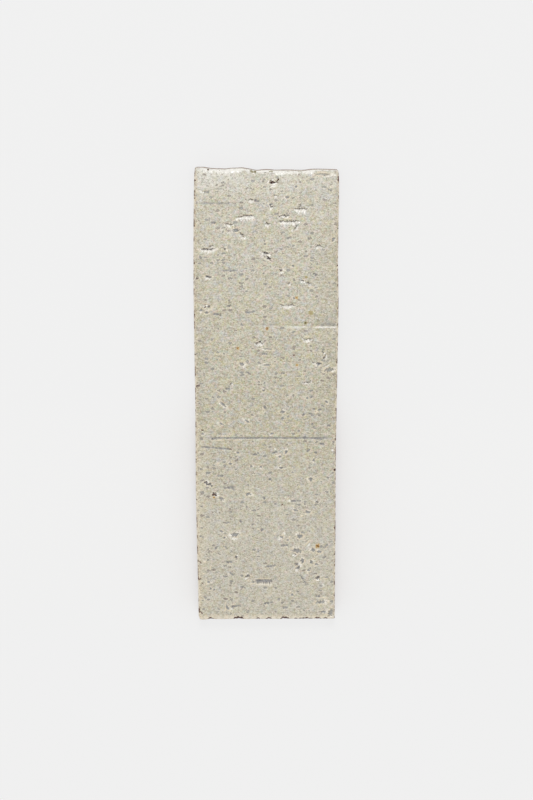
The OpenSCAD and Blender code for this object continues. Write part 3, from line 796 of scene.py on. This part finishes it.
face_share = smooth(places[:, 2], THICKNESS - SIDE_EDGE_R, THICKNESS - 0.3 * SIDE_EDGE_R)
places[:, 2] -= depth * face_share * MM
places[:, 1] += undercut * face_share * MM


# ---- Ends and edges ----------------------------------------------------------------------------
# The wire wandered as it cut the ends, a little off square, and the sides sagged a little on leaving
# the die. The far edge is rolled over, and chips and nicks broke off all four edges before firing.
FAR_SKEW = math.radians(0.75)
NEAR_SKEW = math.radians(0.35)
EDGE_REACH = 9 * MM  # how far in a wandering edge is felt
# How far each end lies inside its straight line: [across, millimetres]
FAR_LINE = [
    [-0.5, 0.1], [-0.44, 0], [-0.4, 0.4], [-0.29, 0.65], [-0.24, 0.2], [-0.17, 0], [-0.12, 0.5],
    [-0.07, 1], [0, 0.6], [0.06, 0.8], [0.14, 0.7], [0.26, 0.75], [0.31, 0.3], [0.36, 0.1],
    [0.44, 0.25], [0.5, 0.3],
]
NEAR_LINE = [
    [-0.5, -0.5], [-0.47, -0.9], [-0.44, -0.8], [-0.41, -0.5], [-0.33, -0.7], [-0.26, -0.6],
    [-0.2, -0.5], [-0.15, -0.7], [-0.05, -0.65], [0.05, -0.7], [0.09, -0.8], [0.14, -0.6], [0.2, -0.7],
    [0.4, -0.7], [0.46, -0.75], [0.49, -0.7], [0.5, -0.5],
]
# How far each long side lies inside its straight line: [along, millimetres]
LEFT_LINE = [
    [-0.5, 0.8], [-0.493, 0.25], [-0.42, 0.1], [-0.34, -0.2], [-0.27, -0.35], [-0.2, -0.5],
    [-0.1, -0.45], [0, -0.35], [0.13, -0.6], [0.25, -0.65], [0.38, -0.4], [0.44, -0.15], [0.465, 0],
    [0.485, 0.1], [0.5, 0.5],
]
RIGHT_LINE = [
    [-0.5, 0.1], [-0.3, 0.1], [-0.2, 0.25], [-0.1, 0.25], [-0.02, 0.1], [0.15, -0.25], [0.22, -0.3],
    [0.3, 0.1], [0.38, 0.05], [0.44, -0.1], [0.48, 0], [0.493, 0.15], [0.5, 0.5],
]
# How wide the glazed roll of the far edge is: [across, millimetres]
FAR_ROLL = [
    [-0.5, 0.8], [-0.46, 1.6], [-0.42, 2.2], [-0.38, 2], [-0.33, 2.1], [-0.29, 2.3], [-0.24, 2.4],
    [-0.18, 2.2], [-0.15, 1.4], [-0.1, 2.3], [-0.06, 1.6], [0, 1.7], [0.05, 2], [0.08, 2.4],
    [0.15, 2.3], [0.2, 2], [0.24, 1.7], [0.27, 1.7], [0.31, 2.6], [0.34, 1.2], [0.42, 1], [0.5, 0.7],
]
ROLL_SLOPE = 0.4
LEFT_RIM = 2.8
RIGHT_RIM = 2.0
END_RIM = 1.8
OTHER_SIDE = 99.0  # so far off that a nick leaves the other side alone
EVERYWHERE = slice(None)


def along_line(line, shares):
    """What a line's table says at those shares of the width or length."""
    return np.interp(shares, [place for place, _ in line], [size for _, size in line])


def pull_in_end(side, skew, line):
    """Moves the vertices near one end inwards, most at the end itself."""
    reach = smooth(side * places[:, 1], LENGTH / 2 - EDGE_REACH, LENGTH / 2)
    across = places[:, 0] / WIDTH
    inset = along_line(line, across) * MM + (across + 0.5) * WIDTH * math.tan(skew)
    places[:, 1] -= side * reach * inset


# The rims are marked, and the far edge rolled over, while the tile is still straight.
across_mm = places[:, 0] / MM
along_mm = places[:, 1] / MM
from_side = (WIDTH / 2 - abs(places[:, 0])) / MM
from_far = (LENGTH / 2 - places[:, 1]) / MM
from_near = (LENGTH / 2 + places[:, 1]) / MM
side_rim = fade(from_side / np.where(places[:, 0] < 0, LEFT_RIM, RIGHT_RIM), 0, 1)
near_rim = fade(from_near, 0.0, END_RIM)
far_rim = fade(from_far, 0.0, 0.15 * END_RIM)
marks["rim"] = np.maximum(np.maximum(side_rim, near_rim), far_rim)
marks["cut end"] = 1.0 * (np.minimum(from_far, from_near) < 0.1)
# Along the near end, a cream rim of thin glaze, with a painted highlight along its outer part.
near_bright = np.clip(0.7 + wobble(across_mm, 0.6), 0, 1)
add_mark("thin", EVERYWHERE, near_bright * fade(from_near, 1.0, 3.0))
add_mark("gloss_and_painted_highlight", EVERYWHERE, 0.45 * near_bright * fade(from_near, 0.8, 1.9))
roll = along_line(FAR_ROLL, places[:, 0] / WIDTH) + wobble(across_mm, 0.5)
roll += ragged(across_mm, from_far, 0.35, 1.6) - 0.2
rolled = np.clip(roll - from_far, 0, None)
above = smooth(places[:, 2], THICKNESS - 3 * SIDE_EDGE_R, THICKNESS - SIDE_EDGE_R)
places[:, 2] -= ROLL_SLOPE * rolled ** 2 / (rolled + 0.3) * above * MM
# The glazed roll of the far edge bears a painted highlight.
bright = smooth(rolled, 0.0, 0.9) * fade(far_rim, 0.2, 0.8) * (1 - side_rim)
add_mark("gloss_and_painted_highlight", EVERYWHERE, bright)


def chip_edge(from_edge, along_edge, inward, long, reach, pulled, drop, tan, bare):
    """Breaks a bit off an edge: inward is the axis and sign that lead into the tile."""
    axis, sign = inward
    taper = np.clip(1 - (2 * along_edge / long) ** 2, 0, 1) ** 0.6
    below_top = (THICKNESS - places[:, 2]) / MM
    uneven = 1 + wobble(along_edge, 0.2, (2.9, 1.5, 0.8))
    uneven = uneven + ragged(along_edge, from_edge - below_top, 0.15, 1.7)
    taper = np.clip(taper * uneven, 0, 1.4)
    shell = fade(below_top, (0.4 + 0.25 * reach) * taper, (0.8 + 0.5 * reach) * taper + 0.1)
    broken = np.clip(1 - from_edge / np.maximum(reach * taper, 0.01), 0, 1) * (taper > 0.02) * shell
    places[:, 2] -= drop * smooth(broken, 0.0, 0.7) * MM
    places[:, axis] += sign * pulled * smooth(broken, 0.2, 1.0) * MM
    add_mark("bare", EVERYWHERE, bare * smooth(broken, 0.1, 0.35))
    add_mark("tan", EVERYWHERE, tan * smooth(broken, 0.02, 0.15))


for across, *chip in FAR_CHIPS:
    chip_edge(from_far, across_mm - across * WIDTH / MM, (1, -1), *chip)
for across, *chip in NEAR_CHIPS:
    chip_edge(from_near, across_mm - across * WIDTH / MM, (1, 1), *chip)
for along, *nick in LEFT_NICKS:
    chip_edge(from_side + OTHER_SIDE * (across_mm > 0), along_mm - along * LENGTH / MM, (0, 1), *nick)
for along, *nick in RIGHT_NICKS:
    chip_edge(from_side + OTHER_SIDE * (across_mm < 0), along_mm - along * LENGTH / MM, (0, -1), *nick)

left = places[:, 0] < 0
share = places[:, 1] / LENGTH
inset = np.where(left, along_line(LEFT_LINE, share), -along_line(RIGHT_LINE, share))
places[:, 0] += smooth(abs(places[:, 0]), WIDTH / 2 - EDGE_REACH, WIDTH / 2) * MM * inset
pull_in_end(1, FAR_SKEW, FAR_LINE)
pull_in_end(-1, NEAR_SKEW, NEAR_LINE)

tile.data.vertices.foreach_set("co", places.astype(np.float32).ravel())
for name, values in marks.items():
    attribute = tile.data.attributes.new(name, "FLOAT", "POINT")
    attribute.data.foreach_set("value", values.astype(np.float32))
tile.data.update()
bpy.ops.object.shade_smooth_by_angle(angle=math.radians(50))


# ---- Glaze and clay ----------------------------------------------------------------------------
# A satin stone-coloured glaze, sprayed on from the face side over a dark red-brown body. It is cream
# where it runs thin over a rim, grey-blue where it pools, and dies away in specks down the sides. The
# bare clay keeps the streaks of the die on its sides and back, and those of the wire on its ends.
# Its colour also holds painted light: a sheen at the far end, highlights, and shade in the hollows.
clay, clay_shader, place = new_material("glazed_clay")
sideways = place.axis(0)
lengthways = place.axis(1)
down = THICKNESS - place.axis(2)


def mark(name):
    """How far the face bears that mark, from 0 to 1."""
    return place.node("ShaderNodeAttribute", {"attribute_name": name}, output=2)


def drawn_out(across, along):
    """The tile's coordinates, drawn out that many times across and along it."""
    return place.vector("DIVIDE", {1: (across, along, 1.0)})


def cloud(where, size, detail=2.0, roughness=0.5, seed=0.0):
    """Noise from about 0 to 1 whose features are about size metres across."""
    return where.node(
        "ShaderNodeTexNoise",
        {"noise_dimensions": "4D"},
        {"Vector": where, "W": seed, "Scale": 0.5 / size, "Detail": detail, "Roughness": roughness},
    )


def grains(where, size, uneven):
    """Grains: how many sizes off the nearest one's middle is, and three random numbers for it."""
    shift = where.node("ShaderNodeTexNoise", sockets={"Vector": where, "Scale": 1.2 / uneven}, output=1)
    shifted = shift.vector("MULTIPLY_ADD", {1: (uneven,) * 3, 2: where})
    distance = where.node("ShaderNodeTexVoronoi", sockets={"Vector": shifted, "Scale": 1 / size})
    chance = where.node("ShaderNodeSeparateColor", sockets={0: distance.output(1)})
    return distance, chance, chance.output(1), chance.output(2)


def scatter(where, spacing, share, radius, uneven):
    """Scattered specks: how many metres inside the nearest one's rim, and a random number for it."""
    distance, pick, hue, _ = grains(where, spacing, uneven)
    return pick.rise(1 - share, 1.0) * radius - distance * spacing, hue


dragged = drawn_out(1.25, 1.0)
_, grain, grain_warmth, grain_cool = grains(dragged, size=0.38 * MM, uneven=0.25 * MM)
ripple = cloud(drawn_out(3.0, 1.0), 0.4 * MM, detail=1.0, seed=2.0)
broad = cloud(place, 4 * MM, seed=3.0)
fleck_rim, fleck_hue = scatter(
    dragged, spacing=0.75 * MM, share=0.55, radius=0.36 * MM, uneven=0.5 * MM
)
speck_rim, speck_hue = scatter(
    drawn_out(1.7, 1.0), spacing=1.5 * MM, share=0.5, radius=0.62 * MM, uneven=0.7 * MM
)
speck_rim = speck_rim + (cloud(dragged, 0.3 * MM, detail=0.0, seed=6.0) - 0.55) * (0.8 * MM)
flecks = fleck_rim.rise(-0.03 * MM, 0.06 * MM)
specks = speck_rim.rise(-0.05 * MM, 0.12 * MM)
speck_halo = speck_rim.rise(-0.45 * MM, -0.1 * MM) - specks

# The ground of the glaze is sallow here and rosy there, and grained all over.
glaze = broad.rise(0.3, 0.7).mix(from_srgb(181, 173, 153), from_srgb(187, 176, 149))
sallow = cloud(place, 1.0 * MM, detail=1.0, seed=7.0)
glaze = glaze.tinted(sallow.rise(0.5, 0.72) * 0.9, 200, 192, 138)
glaze = glaze.tinted((1 - sallow.rise(0.28, 0.5)) * 0.9, 183, 182, 190)
rosy = cloud(place, 0.8 * MM, detail=1.0, seed=8.0)
glaze = glaze.tinted(rosy.rise(0.5, 0.72) * 0.9, 210, 181, 170)
glaze = glaze.tinted((1 - rosy.rise(0.28, 0.5)) * 0.8, 174, 189, 168)
leftwards = 1 - sideways.rise(-0.5 * WIDTH, -0.38 * WIDTH)
rightwards = sideways.rise(0.3 * WIDTH, 0.44 * WIDTH)
glaze = glaze.tinted(grain_warmth * 0.5, 198, 186, 158)
glaze = glaze.tinted(grain_cool * 0.5, 184, 189, 178)
towards_far = lengthways.rise(0.05 * LENGTH, 0.3 * LENGTH)
towards_near = 1 - lengthways.rise(-0.3 * LENGTH, -0.05 * LENGTH)
# Lighter towards the near end, and a painted sheen towards the far end.
glaze = glaze.tinted((1 - towards_far) * 0.12, 188, 181, 162)
glaze = glaze.tinted(towards_far * 0.10 + towards_near * 0.36, 204, 199, 188)
# A patchy painted sheen over the far end, stronger towards the left.
painted_far_sheen = lengthways.rise(LENGTH / 2 - 16 * MM, LENGTH / 2 - 2 * MM) * broad.rise(0.2, 0.6)
painted_far_sheen = painted_far_sheen * (0.4 - sideways * (0.35 / WIDTH))
glaze = glaze.tinted(painted_far_sheen, 222, 221, 215)
# Lighter at the left of the near half, and darker at both sides of the middle.
near_half = 1 - lengthways.rise(-0.12 * LENGTH, 0.0)
middle = (1 - near_half) * (1 - lengthways.rise(0.3 * LENGTH, 0.45 * LENGTH))
glaze = glaze.tinted(leftwards * near_half * 0.4, 213, 203, 178)
glaze = glaze.tinted((leftwards + rightwards) * middle * 0.3, 172, 165, 144)
glaze = glaze.lifted((grain - 0.5) * 0.26 + (ripple - 0.5) * 0.09)
fleck_colour = fleck_hue.rise(0.3, 0.9).mix(from_srgb(150, 148, 138), from_srgb(158, 140, 126))
glaze = (flecks * 0.5).mix(glaze, fleck_colour)
glaze = glaze.tinted(speck_halo.most(0.0) * 0.5, 222, 214, 196)
speck_colour = speck_hue.rise(0.5, 0.9).mix(from_srgb(140, 139, 136), from_srgb(137, 125, 118))
glaze = (specks * 0.75).mix(glaze, speck_colour)

# What the wire, the kiln and handling did to it, with painted highlights and painted shade.
glaze = glaze.tinted(mark("thin") * 0.8, 228, 214, 187)
# Painted highlights on the slopes, rims and edges that face the far end, where the glaze is also
# glossier.
gloss_and_painted_highlight = mark("gloss_and_painted_highlight")
glaze = glaze.tinted(gloss_and_painted_highlight * 0.95, 247, 244, 237)
glaze = glaze.tinted(mark("pooled") * 0.85, 134, 135, 138)
# Deep glaze and painted shade in the throats of tears, pits, slits and the slot.
glaze = glaze.tinted(mark("deep_pool_and_painted_shade") * 0.9, 104, 97, 102)
wear = mark("rim") + (ripple - 0.5) * 0.9 + (grain - 0.5) * 0.5
worn = grain_warmth.rise(0.45, 0.95).mix(from_srgb(238, 226, 203), from_srgb(202, 176, 138))
far_end = lengthways.rise(LENGTH / 2 - 3 * MM, LENGTH / 2 - 1 * MM)
glaze = (wear.rise(0.35, 0.8) * (0.2 + 0.6 * grain_cool) * (1 - far_end * 0.7)).mix(glaze, worn)
outermost = (mark("rim") + (grain - 0.5) * 0.1).rise(0.84, 0.96)
outermost = outermost * (1 - down.rise(0.9 * MM, 2.0 * MM))
glaze = glaze.tinted(outermost * 0.7, 236, 227, 210)
nicked = cloud(place, 1.1 * MM, seed=9.0) + rightwards * 0.03
nicked = (nicked - leftwards * near_half * 0.03).rise(0.49, 0.6)
nick_colour = grain_cool.mix(from_srgb(96, 76, 70), from_srgb(166, 138, 114))
glaze = (outermost * nicked * (1 - far_end * 0.3)).mix(glaze, nick_colour)
glaze = glaze.tinted(mark("tan") * 0.9, 150, 141, 102)
# Bare red clay, painted darker as shade where it lies in throats, pits, cracks and chips.
bare_clay_with_painted_shade = grain.rise(0.2, 0.9).mix(from_srgb(76, 43, 37), from_srgb(118, 79, 66))
glaze = mark("bare").rise(0.3, 0.6).mix(glaze, bare_clay_with_painted_shade)
olive = mark("olive")
glaze = glaze.tinted(olive.rise(0.05, 0.5) * 0.8, 158, 148, 92)
glaze = glaze.tinted(olive.rise(0.6, 1.0) * 0.85, 84, 70, 44)
iron = mark("iron")
glaze = glaze.tinted(iron.rise(0.05, 0.5) * 0.8, 208, 168, 92)
glaze = glaze.tinted(iron.rise(0.4, 0.75) * 0.85, 128, 88, 42)

# The bare clay, and how far down the sides the spray reached.
unglazed = (down + (grain - 0.5) * (3 * MM) + (broad - 0.5) * (4 * MM)).rise(4.5 * MM, 8 * MM)
wire_cut = mark("cut end")
die_streaks = cloud(drawn_out(1.0, 14.0), 0.35 * MM, detail=3.0, roughness=0.7, seed=10.0)
wire_streaks = cloud(drawn_out(12.0, 1.0), 0.35 * MM, detail=3.0, roughness=0.7, seed=11.0)
streaks = die_streaks * (1 - wire_cut) + wire_streaks * wire_cut
body = streaks.rise(0.25, 0.75).mix(from_srgb(122, 78, 62), from_srgb(146, 98, 77))
bloom = cloud(place, 6 * MM, detail=4.0, roughness=0.7, seed=12.0).rise(0.45, 0.75)
body = body.tinted(bloom * 0.45, 176, 138, 114)
body = body.tinted(grain.rise(0.7, 1.0) * 0.5, 84, 58, 50)
body = body.tinted(grain_warmth.rise(0.8, 1.0) * 0.4, 184, 148, 122)
body = body.tinted(specks * 0.7, 72, 50, 46)
plug(unglazed.mix(glaze, body), clay_shader, "Base Color")
plug(0.3 - gloss_and_painted_highlight * 0.12 + unglazed * 0.5, clay_shader, "Roughness")
glaze_height = grain * 0.2 + ripple * 0.6 - specks - flecks * 0.6
clay_height = streaks * 2.2 + grain * 1.2 - specks * 1.5
height = glaze_height * (1 - unglazed) + clay_height * unglazed
surface = height.node("ShaderNodeBump", sockets={"Distance": 0.12 * MM, "Height": height})
plug(surface, clay_shader, "Normal")
tile.data.materials.clear()  # the cut grooves left an empty slot
tile.data.materials.append(clay)

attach(tile, "root")
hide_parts("thin_brick")
